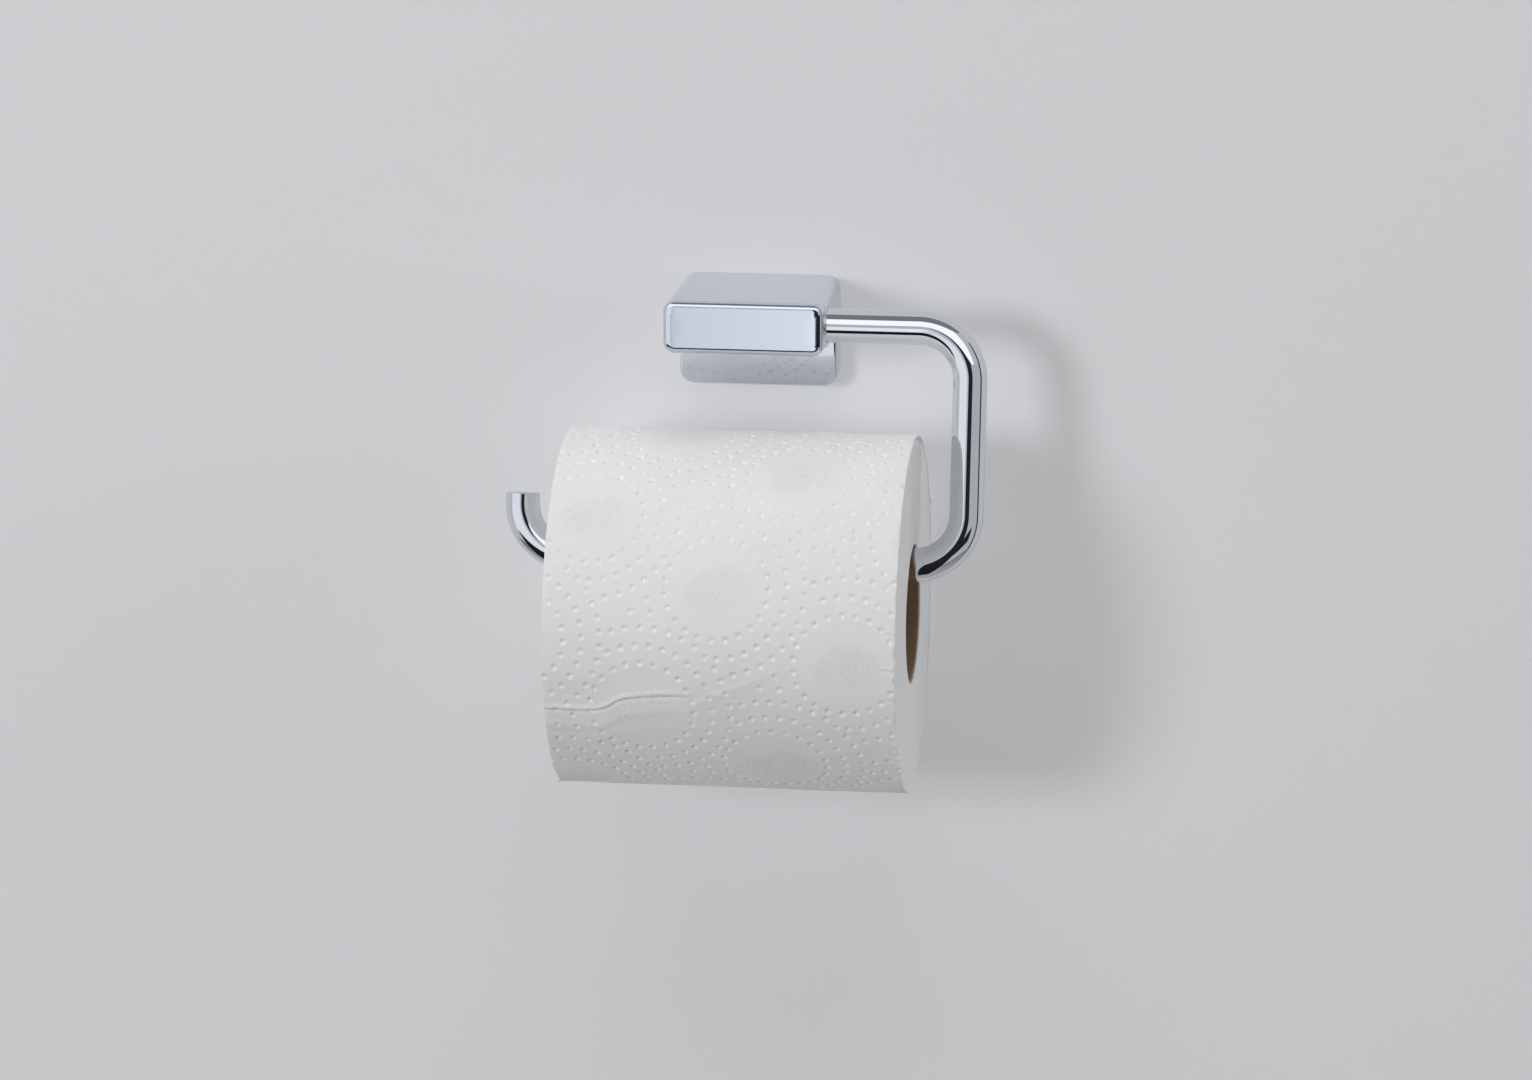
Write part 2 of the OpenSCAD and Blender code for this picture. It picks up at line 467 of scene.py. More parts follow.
def tissue_material(name, embossed):
    """Soft two-ply tissue, with the pin embossing on the outer sheets."""
    material, tree, shader = new_material(
        name, Roughness=0.85, Specular_IOR_Level=0.2, Sheen_Weight=0.12, Sheen_Roughness=0.5)
    mask = use_group(tree, DRIFT, Size=30.0)
    link(tree, two_tones(tree, mask, (0.90, 0.905, 0.905), (0.935, 0.935, 0.93)),
         shader.inputs["Base Color"])
    fibre = use_group(tree, GRAIN, Size=1500.0, Stretch=1.0)
    normal = bump_node(tree, fibre, 0.05 * MM, 0.5)
    if embossed:
        normal = pin_embossing(tree, normal)
    link(tree, normal, shader.inputs["Normal"])
    return material


def core_material():
    """Grey-brown board with fibres drawn out along the tube."""
    material, tree, shader = new_material("core_board", Roughness=0.8, Specular_IOR_Level=0.2)
    mask = use_group(tree, GRAIN, Size=900.0, Stretch=0.25)
    link(tree, two_tones(tree, mask, (0.23, 0.135, 0.075), (0.40, 0.26, 0.16)),
         shader.inputs["Base Color"])
    fibre = use_group(tree, GRAIN, Size=1400.0, Stretch=0.3)
    link(tree, bump_node(tree, fibre, 0.08 * MM), shader.inputs["Normal"])
    return material


CHROME_CASTING = hard_finish(
    "chrome_casting", tones=((0.68, 0.715, 0.775), (0.70, 0.73, 0.78)), drift=15.0,
    rough=(0.035, 0.075), smudges=45.0, Metallic=1.0)
CHROME_ROD = hard_finish(
    "chrome_rod", tones=((0.735, 0.75, 0.78), (0.755, 0.77, 0.79)), drift=20.0,
    rough=(0.02, 0.05), smudges=60.0, Metallic=1.0)
ZINC = hard_finish(
    "zinc_plated_steel", tones=((0.50, 0.51, 0.52), (0.62, 0.62, 0.61)), drift=260.0,
    rough=(0.28, 0.42), smudges=180.0, grain=(700.0, 0.15, 0.02 * MM), Metallic=1.0)
SCREW_STEEL = hard_finish(
    "screw_steel", tones=((0.55, 0.55, 0.54), (0.68, 0.67, 0.64)), drift=300.0,
    rough=(0.22, 0.36), smudges=240.0, grain=(900.0, 1.0, 0.01 * MM), Metallic=1.0)
BLACK_STEEL = hard_finish(
    "black_steel", tones=((0.05, 0.05, 0.055), (0.09, 0.09, 0.095)), drift=400.0,
    rough=(0.30, 0.45), smudges=300.0, grain=(1200.0, 1.0, 0.01 * MM), Metallic=1.0)
BUSH_PLASTIC = hard_finish(
    "bush_plastic", tones=((0.018, 0.018, 0.02), (0.0328, 0.0328, 0.036)), drift=300.0,
    rough=(0.40, 0.53), smudges=400.0, grain=(2200.0, 1.0, 0.01 * MM), Specular_IOR_Level=0.4)
TISSUE = tissue_material("tissue", embossed=False)
EMBOSSED = tissue_material("embossed_tissue", embossed=True)
CORE_BOARD = core_material()


# ---------------------------------------------------------------- housing

def make_housing():
    """Plate and pivot block in one hollow casting, with the bearing bored in from the right."""
    low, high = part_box("housing")
    under = high.z - 2 * BLOCK_HALF
    block = add_box("housing", (low.x, low.y, under), (high.x, 0, high.z))
    bevel(block, runs_in_at(high.z), PLATE_CORNER, 12)
    bevel(block, runs_in_at(under), BLOCK_CORNER, 8)
    tighten_front_corners(block, low, high)
    bevel(block, at_depth(low.y), BLOCK_EDGE, 8)
    crown_front(block, low)

    middle = high.z - BLOCK_HALF
    plate = add_box("plate", (low.x + FIT, -PLATE_DEPTH, low.z), (high.x - FIT, 0, middle))
    bevel(plate, runs_in_at(low.z), PLATE_CORNER, 12)
    bevel(plate, at_depth(-PLATE_DEPTH), PLATE_EDGE, 6)
    for vert in plate.data.vertices:
        if vert.co.y < -PLATE_DEPTH / 2:
            vert.co.y += math.tan(DRAFT) * (middle - vert.co.z)
    cut(block, plate, "UNION")
    hollow_housing(block, low, high)
    smooth(block)
    return hand_over(block, "wall_unit", CHROME_CASTING, "housing")


def tighten_front_corners(block, low, high):
    """The top corners are rounder at the wall than at the front."""
    factor, reach = BLOCK_CORNER / PLATE_CORNER, PLATE_CORNER + FIT
    for x, side in ((low.x, -1), (high.x, 1)):
        pick(block, "verts", lambda vert: (near(vert.co.y, low.y) and vert.co.z > high.z - reach
                                           and side * vert.co.x > side * x - reach))
        bpy.ops.transform.resize(value=(factor, 1, factor), center_override=(x, low.y, high.z))
        done(block)


def crown_front(block, low):
    """The front is very slightly domed, as polished faces are."""
    middle = (0, low.y, PIVOT.z)
    half_x, half_z = SIDE_X - BLOCK_EDGE, BLOCK_HALF - BLOCK_EDGE
    for vert in block.data.vertices:
        if vert.co.y < low.y + BLOCK_EDGE:
            vert.co.y += DOME * (low.y + BLOCK_EDGE - vert.co.y) / BLOCK_EDGE
    pick(block, "faces", lambda face: near(face.calc_center_median().y, low.y + DOME))
    for inset, share in ((1.2 * MM, 0.40), (1.2 * MM, 0.30), (1.2 * MM, 0.20), (1.5 * MM, 0.10)):
        push_and_scale((0, -DOME * share, 0), (1 - inset / half_x, 1, 1 - inset / half_z), middle)
        half_x -= inset
        half_z -= inset
    done(block)


def hollow_housing(block, low, high):
    """Pocket and cavity behind, bearing bore and collar recess at the side, grub screw hole."""
    bush_low, bush_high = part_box("pivot_bush")
    collar_low, collar_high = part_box("pivot_collar")
    pocket = add_box("pocket", (low.x + WALL, -PLATE_DEPTH + WALL, low.z + WALL),
                     (high.x - WALL, MM, high.z - WALL))
    bevel(pocket, runs_in, PLATE_CORNER - WALL, 5)
    cut(block, pocket)
    cut(block, add_box("cavity", (low.x + WALL, low.y + WALL, high.z - 2 * BLOCK_HALF + WALL),
                       (bush_low.x, -WALL, high.z - WALL)))
    outside = (SIDE_X + MM, PIVOT.y, PIVOT.z)
    cut(block, add_bar("bore", (bush_low.x - MM, PIVOT.y, PIVOT.z), outside,
                       bush_high.z - PIVOT.z - BUSH_FLANGE[1] + FIT))
    cut(block, add_bar("recess", (collar_low.x, PIVOT.y, PIVOT.z), outside,
                       collar_high.z - PIVOT.z + FIT, sides=96))
    grub_y = grub_depth()
    cut(block, add_bar("grub_hole", (0, grub_y, low.z - MM), (0, grub_y, low.z + WALL + MM),
                       M4 + FIT))


def grub_depth():
    """The grub screw's axis stands at this Y."""
    low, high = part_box("grub_screw")
    return (low.y + high.y) / 2


# ---------------------------------------------------------------- pivot parts

def make_collar():
    """Chrome ring let into the block's side, slightly tapered, with both rims rounded."""
    low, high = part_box("pivot_collar")
    outer, inner, rim = high.z - PIVOT.z, ROD + 0.25 * MM, 0.22 * MM
    length, proud, taper = high.x - low.x, high.x - SIDE_X, math.radians(9)
    nose, third = outer - math.tan(taper) * (proud - rim), 0.3 * rim
    rings = [(0, inner), (0, outer), (length - proud, outer), (length - rim, nose),
             (length - third, nose - third), (length, nose - rim), (length, inner + rim),
             (length - third, inner + third), (length - rim, inner), (0, inner)]
    ring = turned("pivot_collar", rings, 96, (low.x, PIVOT.y, PIVOT.z), closed=True)
    smooth(ring, 50)
    return hand_over(ring, "wall_unit", CHROME_ROD, "pivot_collar")


def make_bush():
    """Flanged plastic sleeve with a lead-in chamfer at each end."""
    low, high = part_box("pivot_bush")
    flange, rise = BUSH_FLANGE
    lead, bore = 0.35 * MM, SPIGOT + 0.05 * MM
    outer, sleeve, length = high.z - PIVOT.z, high.z - PIVOT.z - rise, high.x - low.x
    rings = [(lead, bore), (0, bore + lead), (0, sleeve - lead), (lead, sleeve),
             (length - flange, sleeve), (length - flange, outer), (length, outer),
             (length, bore + lead), (length - lead, bore), (lead, bore)]
    bush = turned("pivot_bush", rings, 72, (low.x, PIVOT.y, PIVOT.z), closed=True)
    smooth(bush, 35)
    return hand_over(bush, "wall_unit", BUSH_PLASTIC, "pivot_bush")


def make_washer():
    low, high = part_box("thrust_washer")
    outer, inner, edge = high.z - PIVOT.z, M4 + 0.2 * MM, 0.15 * MM
    length = high.x - low.x
    rings = [(0, inner), (0, outer - edge), (edge, outer), (length - edge, outer),
             (length, outer - edge), (length, inner), (0, inner)]
    ring = turned("thrust_washer", rings, 72, (low.x, PIVOT.y, PIVOT.z), closed=True)
    smooth(ring, 35)
    return hand_over(ring, "arm", SCREW_STEEL, "thrust_washer")


# ---------------------------------------------------------------- screws

def add_thread(name, root, crest, pitch, length, sides, runout):
    """A threaded rod along +X from the origin: one tooth wound up by a screw modifier.
    The thread's crest fades over the runout at both ends."""
    tooth = [(0, root), (0.30, root), (0.46, crest), (0.54, crest), (0.70, root), (1, root)]
    mesh = bpy.data.meshes.new(name)
    mesh.from_pydata([(share * pitch, 0, radius) for share, radius in tooth],
                     [(i, i + 1) for i in range(len(tooth) - 1)], [])
    rod = in_scene(name, mesh)
    turns = max(1, round(length / pitch) - 1)
    modify(rod, "SCREW", axis="X", screw_offset=pitch, angle=2 * math.pi, iterations=turns,
           steps=sides, render_steps=sides, use_merge_vertices=True,
           merge_threshold=THREAD_GAP, use_normal_calculate=False)
    full = (turns + 1) * pitch
    for vert in rod.data.vertices:
        radius = math.hypot(vert.co.y, vert.co.z)
        fade = min(1.0, max(0.0, min(vert.co.x, full - vert.co.x) / runout))
        factor = (root + (radius - root) * fade) / radius
        vert.co = (vert.co.x * length / full, vert.co.y * factor, vert.co.z * factor)
    pick_all(rod)
    bpy.ops.mesh.remove_doubles(threshold=THREAD_GAP)
    pick_open_edges()
    bpy.ops.mesh.edge_face_add()
    done(rod)
    return tidy_shell(rod)


def cross_recess(screw, width, length, depth):
    """Cuts a tapered cross into a head that starts at the origin and faces -X."""
    narrowing, overshoot = 0.6, 0.2 * MM
    for size_y, size_z in ((width, length), (length, width)):
        tool = add_box("cross", (0, -size_y / 2, -size_z / 2), (depth, size_y / 2, size_z / 2))
        pick(tool, "faces", lambda face: near(face.calc_center_median().x, depth))
        bpy.ops.transform.resize(value=(1, narrowing, narrowing), center_override=(depth, 0, 0))
        done(tool)
        for vert in tool.data.vertices:
            if near(vert.co.x, 0):
                vert.co.x -= overshoot
        cut(screw, tool)


def make_wall_screw():
    """Countersunk screw drawn along +X, from its head at 0 past the wall's face to its point."""
    shank, root, crest, pitch = 1.5 * MM, 1.35 * MM, 2.0 * MM, 1.6 * MM
    head, face, end, slimming = 1.9 * MM, 2.5 * MM, 32.5 * MM, 4.5 * MM
    rings = [(0, WALL_SCREW_HEAD - 0.1 * MM), (0.08 * MM, WALL_SCREW_HEAD), (head, shank),
             (face + 1.5 * MM, shank)]
    screw = turned("wall_screw", rings)
    cross_recess(screw, 0.85 * MM, 4.4 * MM, 1.1 * MM)
    smooth(screw)
    thread = add_thread("wall_screw_thread", root, crest, pitch, end - face, 32, 2.5 * MM)
    for vert in thread.data.vertices:
        slim = min(1.0, (end - face - vert.co.x) / slimming + 0.05)
        vert.co = (vert.co.x + face, vert.co.y * slim, vert.co.z * slim)
    smooth(thread, 35, weighted=False)
    return join_pieces("wall_screw", [screw, thread])


def make_wall_screws():
    low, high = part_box("wall_screws")
    head_x = high.x - WALL_SCREW_HEAD
    master = make_wall_screw()
    pair = [put(copy_piece(master), (side * head_x, low.y, (low.z + high.z) / 2),
                (0, 0, math.pi / 2)) for side in (-1, 1)]
    bpy.data.objects.remove(master)
    screws = join_pieces("wall_screws", pair)
    return hand_over(screws, "wall_unit", SCREW_STEEL, "wall_screws")


def make_grub_screw():
    """Hexagon socket set screw, drawn along +X and stood up under the housing."""
    low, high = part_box("grub_screw")
    length, point_r = high.z - low.z - MM, 1.1 * MM
    screw = add_thread("grub_screw", M4_ROOT, M4, M4_PITCH, length, 36, 0.5 * MM)
    cut(screw, add_bar("socket", (-MM, 0, 0), (2.2 * MM, 0, 0), 1.15 * MM, sides=6))
    point = turned("grub_point", [(length - 0.3 * MM, point_r), (length, point_r),
                                  (length + MM, 0.3 * MM)], 36)
    smooth(screw, 35, weighted=False)
    smooth(point)
    screw = join_pieces("grub_screw", [screw, point])
    put(screw, (0, grub_depth(), low.z), (0, -math.pi / 2, 0))
    return hand_over(screw, "wall_unit", BLACK_STEEL, "grub_screw")


def make_retaining_screw():
    """Pan head screw in the spigot's end: domed head with a cross recess, M4 thread."""
    low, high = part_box("retaining_screw")
    radius, head, neck = 3.6 * MM, 2.4 * MM, M4 - 0.2 * MM
    dome = [(head * (1 - math.cos(a)) * 0.75, radius * (0.62 + 0.38 * math.sin(a)))
            for a in np.linspace(0.0, math.pi / 2, 7)]
    rings = dome + [(head, radius), (head, neck), (head + 1.6 * MM, neck)]
    screw = turned("retaining_screw", rings)
    cross_recess(screw, 0.8 * MM, 3.6 * MM, 1.2 * MM)
    smooth(screw)
    start = head + 1.2 * MM
    thread = put(add_thread("retaining_thread", M4_ROOT, M4, M4_PITCH, high.x - low.x - start, 32,
                            0.6 * MM), (start, 0, 0))
    smooth(thread, 35, weighted=False)
    screw = join_pieces("retaining_screw", [screw, thread])
    put(screw, (low.x, PIVOT.y, PIVOT.z))
    return hand_over(screw, "arm", SCREW_STEEL, "retaining_screw")


# ---------------------------------------------------------------- bracket

def make_bracket():
    """Steel plate with a clamping lip, two countersunk holes and a seat for the grub screw."""
    low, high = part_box("wall_bracket")
    thickness, corner, break_edge = 2.5 * MM, 1.5 * MM, 0.3 * MM
    lip_half, lip_height = 7 * MM, 5.4 * MM
    hole, sink, seat = 2.25 * MM, WALL_SCREW_HEAD + 0.25 * MM, 1.3 * MM
    plate = add_box("wall_bracket", (low.x, -thickness, low.z), (high.x, 0, high.z))
    bevel(plate, runs_in, corner, 6)
    bevel(plate, at_depth(-thickness), break_edge, 3)
    lip = add_box("lip", (-lip_half, low.y, low.z + FIT), (lip_half, -MM, low.z + lip_height))
    bevel(lip, at_depth(low.y), break_edge, 3)
    cut(plate, lip, "UNION")
    head_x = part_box("wall_screws")[1].x - WALL_SCREW_HEAD
    for x in (-head_x, head_x):
        cut(plate, add_bar("hole", (x, MM, 0), (x, -4 * MM, 0), hole))
        cut(plate, add_bar("sink", (x, -0.6 * MM, 0), (x, -thickness - 0.02 * MM, 0), hole, sink))
    grub_y = grub_depth()
    cut(plate, add_bar("seat", (0, grub_y, low.z - 0.01 * MM), (0, grub_y, low.z + 1.2 * MM),
                       seat, 0.2 * MM, 32))
    smooth(plate)
    return hand_over(plate, "wall_unit", ZINC, "wall_bracket")


# ---------------------------------------------------------------- arm

def sweep_turn(centre):
    """Spins the selected ring a quarter turn about a centre, as a tube bender does."""
    bpy.ops.mesh.spin(steps=24, angle=math.pi / 2, center=centre, axis=(0, -1, 0))


def make_arm():
    """One bent rod, drawn hanging straight down from the pivot at the origin, then leaned out."""
    low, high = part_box("arm_rod")
    edge = 0.3 * MM
    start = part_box("thrust_washer")[1].x - PIVOT.x
    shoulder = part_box("pivot_bush")[1].x + 0.1 * MM - PIVOT.x
    leg, tip = high.x - ROD - PIVOT.x, low.x + ROD - PIVOT.x
    arm = start_ring("arm_rod", start, SPIGOT - edge, 64)
    for step, before, after in (
            (edge, SPIGOT - edge, SPIGOT), (shoulder - start - edge, SPIGOT, SPIGOT),
            (0.0, SPIGOT, ROD - edge), (edge, ROD - edge, ROD)):
        push_and_scale((step, 0, 0), (1, after / before, after / before), (0, 0, 0))
    push((leg - BEND - shoulder - edge, 0, 0))
    sweep_turn((leg - BEND, 0, -BEND))
    push((0, 0, -(DROP - 2 * BEND)))
    sweep_turn((leg - BEND, 0, BEND - DROP))
    push((tip - leg + 2 * BEND, 0, 0))
    sweep_turn((tip + BEND, 0, BEND - DROP))
    push((0, 0, TIP_RISE - BEND - CHAMFER))
    top = (tip, 0, TIP_RISE - DROP)
    for share, factor in ((0.25, 0.985), (0.45, 0.955), (0.3, 0.93)):
        push_and_scale((0, 0, share * CHAMFER), (factor, factor, 1), top)
    done(arm)
    tidy_shell(arm)
    cut(arm, add_bar("tapped", (start - MM, 0, 0), (start + 9 * MM, 0, 0), M4 + FIT))
    reach = math.hypot(ROLL.y - PIVOT.y, ROLL.z - PIVOT.z)
    put(arm, PIVOT, (-math.asin((PIVOT.y - ROLL.y) / reach), 0, 0))
    smooth(arm)
    return hand_over(arm, "arm", CHROME_ROD, "arm_rod")


# ---------------------------------------------------------------- paper roll

# The paper's pattern: rosettes of three rings of pressed dots round an oval patch of pins
ROSETTE_PITCH = 42.8 * MM
ROSETTE_TURN = math.radians(60)
ROSETTE_START = (-0.75 * MM, 18.6 * MM)
ROSETTE_STEPS = range(-9, 10)
RING_RADII = [14.9 * MM, 20.15 * MM, 25.4 * MM]
DOT_PITCH = 4.15 * MM
DOT_RADIUS = 1.1 * MM
DOT_DEPTH = 0.66 * MM
PATCH_HALF = (9.8 * MM, 6.2 * MM)
PATCH_TURN = math.radians(18)
# Slow waves: wavelength, direction, phase and height
SHEET_WAVES = ((61 * MM, 0.3, 0.4, 0.05 * MM), (37 * MM, 1.9, 1.1, 0.04 * MM),
               (23 * MM, 2.7, 2.3, 0.02 * MM), (13 * MM, 1.2, 0.2, 0.012 * MM))
RIM_WAVES = ((7.3 * MM, 0, 0.3, 0.09 * MM), (2.9 * MM, 0, 1.7, 0.06 * MM),
             (19 * MM, 0, 0.9, 0.08 * MM))
# Small wrinkles that run in from the right rim: place around the roll, length and depth
RIM_WRINKLES = ((21 * MM, 5 * MM, 0.16 * MM), (6.5 * MM, 7 * MM, 0.25 * MM),
                (-4 * MM, 6 * MM, 0.28 * MM), (-13 * MM, 4 * MM, 0.2 * MM),
                (-27 * MM, 5 * MM, 0.3 * MM), (-33 * MM, 3.5 * MM, 0.25 * MM),
                (47 * MM, 4 * MM, 0.15 * MM), (110 * MM, 6 * MM, 0.25 * MM))
# Torn tufts on the rims: side, place around the roll, reach, rise and how far they lean out
TUFTS = ((-1, 93 * MM, 1.3 * MM, 1.1 * MM, 0.5 * MM), (-1, 89.5 * MM, 0.8 * MM, 0.7 * MM, 0.3 * MM),
         (-1, -61 * MM, 0.9 * MM, 0.8 * MM, 0.4 * MM), (1, -35 * MM, 0.9 * MM, 0.8 * MM, 0.9 * MM),
         (1, -38.5 * MM, 1.2 * MM, 0.6 * MM, 1.2 * MM), (1, -42 * MM, 0.8 * MM, 0.7 * MM, 0.7 * MM),
         (1, -29 * MM, 0.7 * MM, 0.6 * MM, 0.4 * MM), (1, -47 * MM, 0.8 * MM, 0.5 * MM, 0.4 * MM),
         (1, 140 * MM, 1.0 * MM, 0.9 * MM, 0.4 * MM))


def rosette(i, j):
    """Centre of one rosette on the flat paper: i steps along the slant, j steps across it."""
    cos, sin = math.cos(ROSETTE_TURN), math.sin(ROSETTE_TURN)
    return np.array((ROSETTE_START[0] + ROSETTE_PITCH * (i * cos + j * sin),
                     ROSETTE_START[1] + ROSETTE_PITCH * (i * sin - j * cos)))


def embossed_dots(width, first, last):
    """Places of all pressed dots between two arc lengths. Each rosette lies over the next ones."""
    reach = RING_RADII[-1] + 0.5 * DOT_PITCH
    dots = []
    for i in ROSETTE_STEPS:
        for j in ROSETTE_STEPS:
            centre = rosette(i, j)
            if abs(centre[0]) > width / 2 + reach or not first - reach < centre[1] < last + reach:
                continue
            over = (rosette(i - 1, j), rosette(i, j - 1))
            for number, radius in enumerate(RING_RADII):
                count = round(2 * math.pi * radius / DOT_PITCH)
                for k in range(count):
                    angle = 2 * math.pi * (k + 0.37 * number + 0.21 * i) / count
                    dot = centre + radius * np.array((math.cos(angle), math.sin(angle)))
                    if min(np.hypot(*(dot - other)) for other in over) > reach:
                        dots.append(dot)
    return dots


def patch_strength(along, around):
    """How strongly the pin embossing shows: 1 inside a rosette's oval patch, fading at its edge."""
    strength = np.zeros_like(along)
    cos, sin = math.cos(PATCH_TURN), math.sin(PATCH_TURN)
    for i in ROSETTE_STEPS:
        for j in ROSETTE_STEPS:
            x, y = rosette(i, j)
            dx, dy = along - x, around - y
            oval = np.hypot((dx * cos + dy * sin) / PATCH_HALF[0],
                            (dy * cos - dx * sin) / PATCH_HALF[1])
            strength = np.maximum(strength, np.clip((1.15 - oval) / 0.3, 0, 1))
    return strength


def dimple(distance, reach):
    """1 at the middle, falling smoothly to 0 at the reach."""
    return 0.5 + 0.5 * np.cos(math.pi * np.clip(distance / reach, 0, 1))


def swell(distance, height, place, spread):
    """A rounded ridge of a height at a place."""
    return height * np.exp(-((distance - place) / spread) ** 2)


def decay(distance, height, spread):
    """A height that dies away with distance from an edge."""
    return height * np.exp(-distance / spread)


def rise_at(along, place, spread):
    """A smooth step from 0 to 1 at a place along the roll."""
    return 0.5 + 0.5 * np.tanh((along - place) / spread)


def ripples(along, around, waves):
    """A sum of slow slanting waves."""
    total = np.zeros_like(along)
    for wavelength, direction, phase, height in waves:
        run = along * math.cos(direction) + around * math.sin(direction)
        total += height * np.sin(2 * math.pi * run / wavelength + phase)
    return total


def crease_line(along):
    """The free edge's course around the roll, against its straight place, by place along it."""
    return (-1.6 * MM + 4.3 * MM * rise_at(along, -31 * MM, 3 * MM)
            + 1.6 * MM * rise_at(along, -22 * MM, 6 * MM)
            - 4.3 * MM * rise_at(along, 14 * MM, 12 * MM))


def crease_fade(along):
    """1 at the roll's left end, where the free edge stands up, and 0 where it lies flat."""
    return 1 - rise_at(along, -12 * MM, 4 * MM)


def rim_wrinkles(along, around, width):
    """Shallow slanting creases from the right rim, deepest at the rim, each with a ridge."""
    total = np.zeros_like(along)
    inward = width / 2 - along
    slant, half_width = 0.10, 0.55 * MM
    for place, length, depth in RIM_WRINKLES:
        fade = np.clip(1 - inward / length, 0, 1)
        off = (around - place - slant * inward) / half_width
        total += depth * fade * (swell(off, 0.6, 1.5, 1) - swell(off, 1, 0, 1))
    return total


def dot_distance(along, around, dots):
    """Distance from each point of the paper to the nearest dot's middle."""
    tree = kdtree.KDTree(len(dots))
    for index, dot in enumerate(dots):
        tree.insert((dot[0], dot[1], 0), index)
    tree.balance()
    return np.array([tree.find((x, y, 0))[2]
                     for x, y in zip(along.ravel(), around.ravel())]).reshape(along.shape)


def soft_fold(along, around):
    """A low slanting ridge across the lower front."""
    middle = -15.5 * MM + 0.47 * (along + 6 * MM)
    fade = rise_at(along, -7 * MM, 3 * MM) * (1 - rise_at(along, 14 * MM, 4 * MM))
    return fade * swell(around, 0.24 * MM, middle, 1.3 * MM)


def relief(along, around, dots, width):
    """Height of the paper over the plain cylinder: waves, dots with a raised ring round each,
    drawn-in rims, a soft fold and wrinkles."""
    distance = dot_distance(along, around, dots)
    inward = width / 2 - np.abs(along)
    rim_drop = 0.22 * MM + ripples(around, along, RIM_WAVES)
    return (ripples(along, around, SHEET_WAVES) - DOT_DEPTH * dimple(distance, DOT_RADIUS)
            + swell(distance, 0.05 * MM, 1.5 * MM, 0.6 * MM) - decay(inward, rim_drop, 0.45 * MM)
            + soft_fold(along, around) + rim_wrinkles(along, around, width))


def free_edge_lift(number, along, around, radius):
    """At the left the free edge bulges and curls in, and the paper below it is drawn in."""
    start = FREE_EDGE * radius + crease_line(along)
    if number == 0:
        above = around - start
        return crease_fade(along) * (
            swell(above, 0.42 * MM, 1.2 * MM, 0.9 * MM) - decay(above, 0.55 * MM, 0.5 * MM)
            - swell(above, 0.16 * MM, 7 * MM, 2.5 * MM))
    if number == SHEETS - 1:
        below = start + 2 * math.pi * radius - around
        return crease_fade(along) * (
            swell(below, 0.30 * MM, 5 * MM, 1.7 * MM) + swell(below, 0.14 * MM, 10.5 * MM, 1.8 * MM)
            - decay(np.maximum(below, 0), 0.62 * MM, 0.45 * MM))
    return 0 * along


def place_sheet(number, width, radius):
    """Grid points of one sheet on the flat paper, from one perforation to the next. The last
    sheet is tucked under the free edge of the first."""
    tuck = 1.2 * MM
    turn = 2 * math.pi * radius
    first, last = (FREE_EDGE * radius + turn * k / SHEETS for k in (number, number + 1))
    columns, rows = round(width / SHEET_PITCH), round((last - first) / SHEET_PITCH)
    along, share = np.meshgrid(np.linspace(-width / 2, width / 2, columns + 1),
                               np.linspace(0, 1, rows + 1))
    shift_first = crease_line(along) if number == 0 else 0
    tucked = crease_line(along) + tuck * crease_fade(along)
    shift_last = tucked if number == SHEETS - 1 else 0
    around = (first + shift_first) * (1 - share) + (last + shift_last) * share
    return along, around, columns, rows


def make_sheet(number, width, radius):
    """One sheet of the last turn: a fine grid, wrapped on the roll with its embossing pressed in,
    then given a thin edge and an inner face."""
    along, around, columns, rows = place_sheet(number, width, radius)
    bpy.ops.mesh.primitive_grid_add(x_subdivisions=columns, y_subdivisions=rows, size=1)
    sheet = named(f"outer_sheet_{number + 1}")
    flat_around = around - 2 * math.pi * radius * (number == SHEETS - 1)
    dots = embossed_dots(width, flat_around.min(), flat_around.max())
    reach = (radius + relief(along, flat_around, dots, width)
             + free_edge_lift(number, along, around, radius))
    angle = around / radius
    points = np.stack((ROLL.x + along, ROLL.y - reach * np.cos(angle),
                       ROLL.z + reach * np.sin(angle)), axis=-1)
    flat = np.stack((along, flat_around), axis=-1).reshape(-1, 2)
    sheet.data.vertices.foreach_set("co", points.astype(np.float32).ravel())
    paint_sheet(sheet.data, flat, patch_strength(along, flat_around))
    sheet.data.update()
    back_sheet(sheet)
    fray(sheet.data.vertices[:len(flat)], width, radius)
    return sheet


def paint_sheet(mesh, flat, patch):
    """Stores the paper's flat coordinates as a UV map and the patches as an attribute."""
    corners = np.zeros(len(mesh.loops), np.int32)
    mesh.loops.foreach_get("vertex_index", corners)
    for layer in list(mesh.uv_layers):
        mesh.uv_layers.remove(layer)
    mesh.uv_layers.new(name="flat").data.foreach_set("uv", flat[corners].astype(np.float32).ravel())
    attribute = mesh.attributes.new("patch", "FLOAT", "POINT")
    attribute.data.foreach_set("value", patch.astype(np.float32).ravel())


